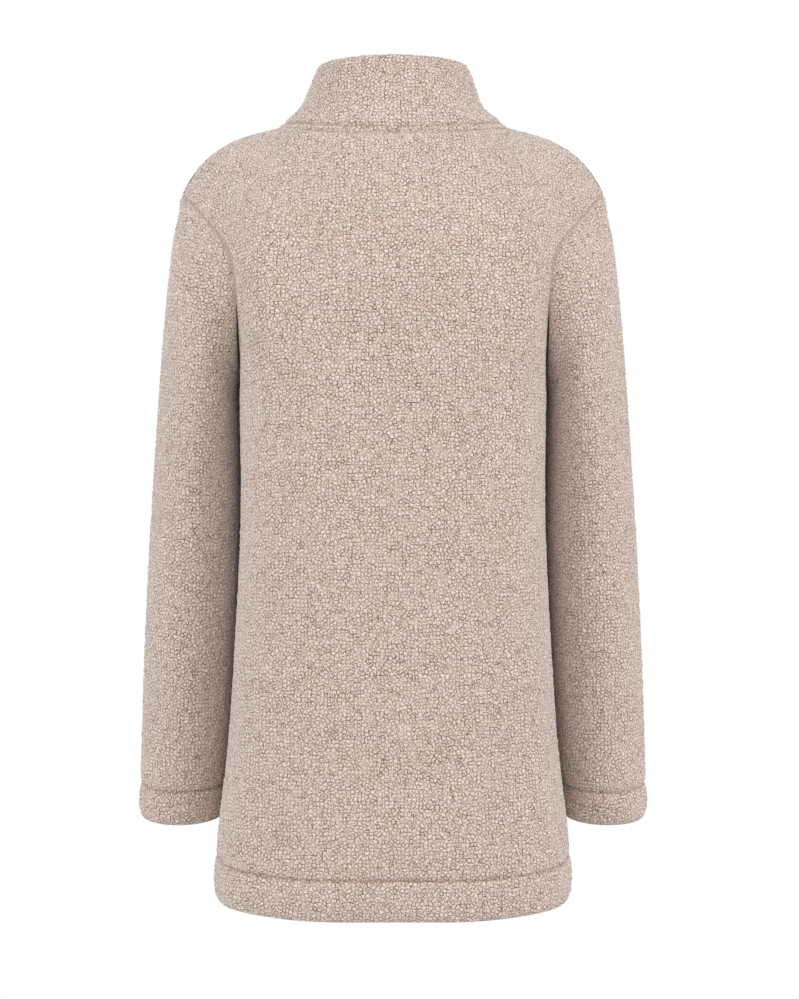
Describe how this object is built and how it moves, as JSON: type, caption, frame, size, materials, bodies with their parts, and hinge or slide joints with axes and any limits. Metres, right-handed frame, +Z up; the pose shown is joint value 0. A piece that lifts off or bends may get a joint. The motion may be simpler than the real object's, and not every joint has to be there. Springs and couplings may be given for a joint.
{
  "type": "long sherpa jacket",
  "caption": "Hip-length curly fleece jacket with a tall funnel collar, straight sleeves and a full front zip, shown hollow and filled out as if worn.",
  "frame": {"origin": "middle of the neck opening, at the height of the collar seam at the centre back, where the neck of the wearer stands", "axes": "+Z up along the wearer, -Y out of the wearer's front, +X to the wearer's left"},
  "size_m": [0.5096, 0.2527, 0.8223],
  "materials": {
    "sherpa": "curly pile, pinkish beige",
    "zip_tape": "woven tape, beige",
    "zip_teeth": "moulded teeth, darker beige",
    "zip_metal": "satin nickel"
  },
  "bodies": {
    "jacket": {"back": "sherpa", "front_left": "sherpa", "front_right": "sherpa", "sleeve_left": "sherpa", "sleeve_right": "sherpa", "collar": "sherpa", "zip_tape_left": "zip_tape", "zip_tape_right": "zip_tape", "zip_chain": "zip_teeth", "zip_box": "zip_teeth", "zip_slider": "zip_metal"},
    "pull": {"zip_pull": "zip_metal"}
  },
  "joints": [
    {"name": "pull_swing", "type": "hinge", "parent": "jacket", "child": "pull", "pos_m": [0, -0.07683, 0.0096], "axis": [-1, 0, 0], "range_deg": [0, 150]}
  ]
}
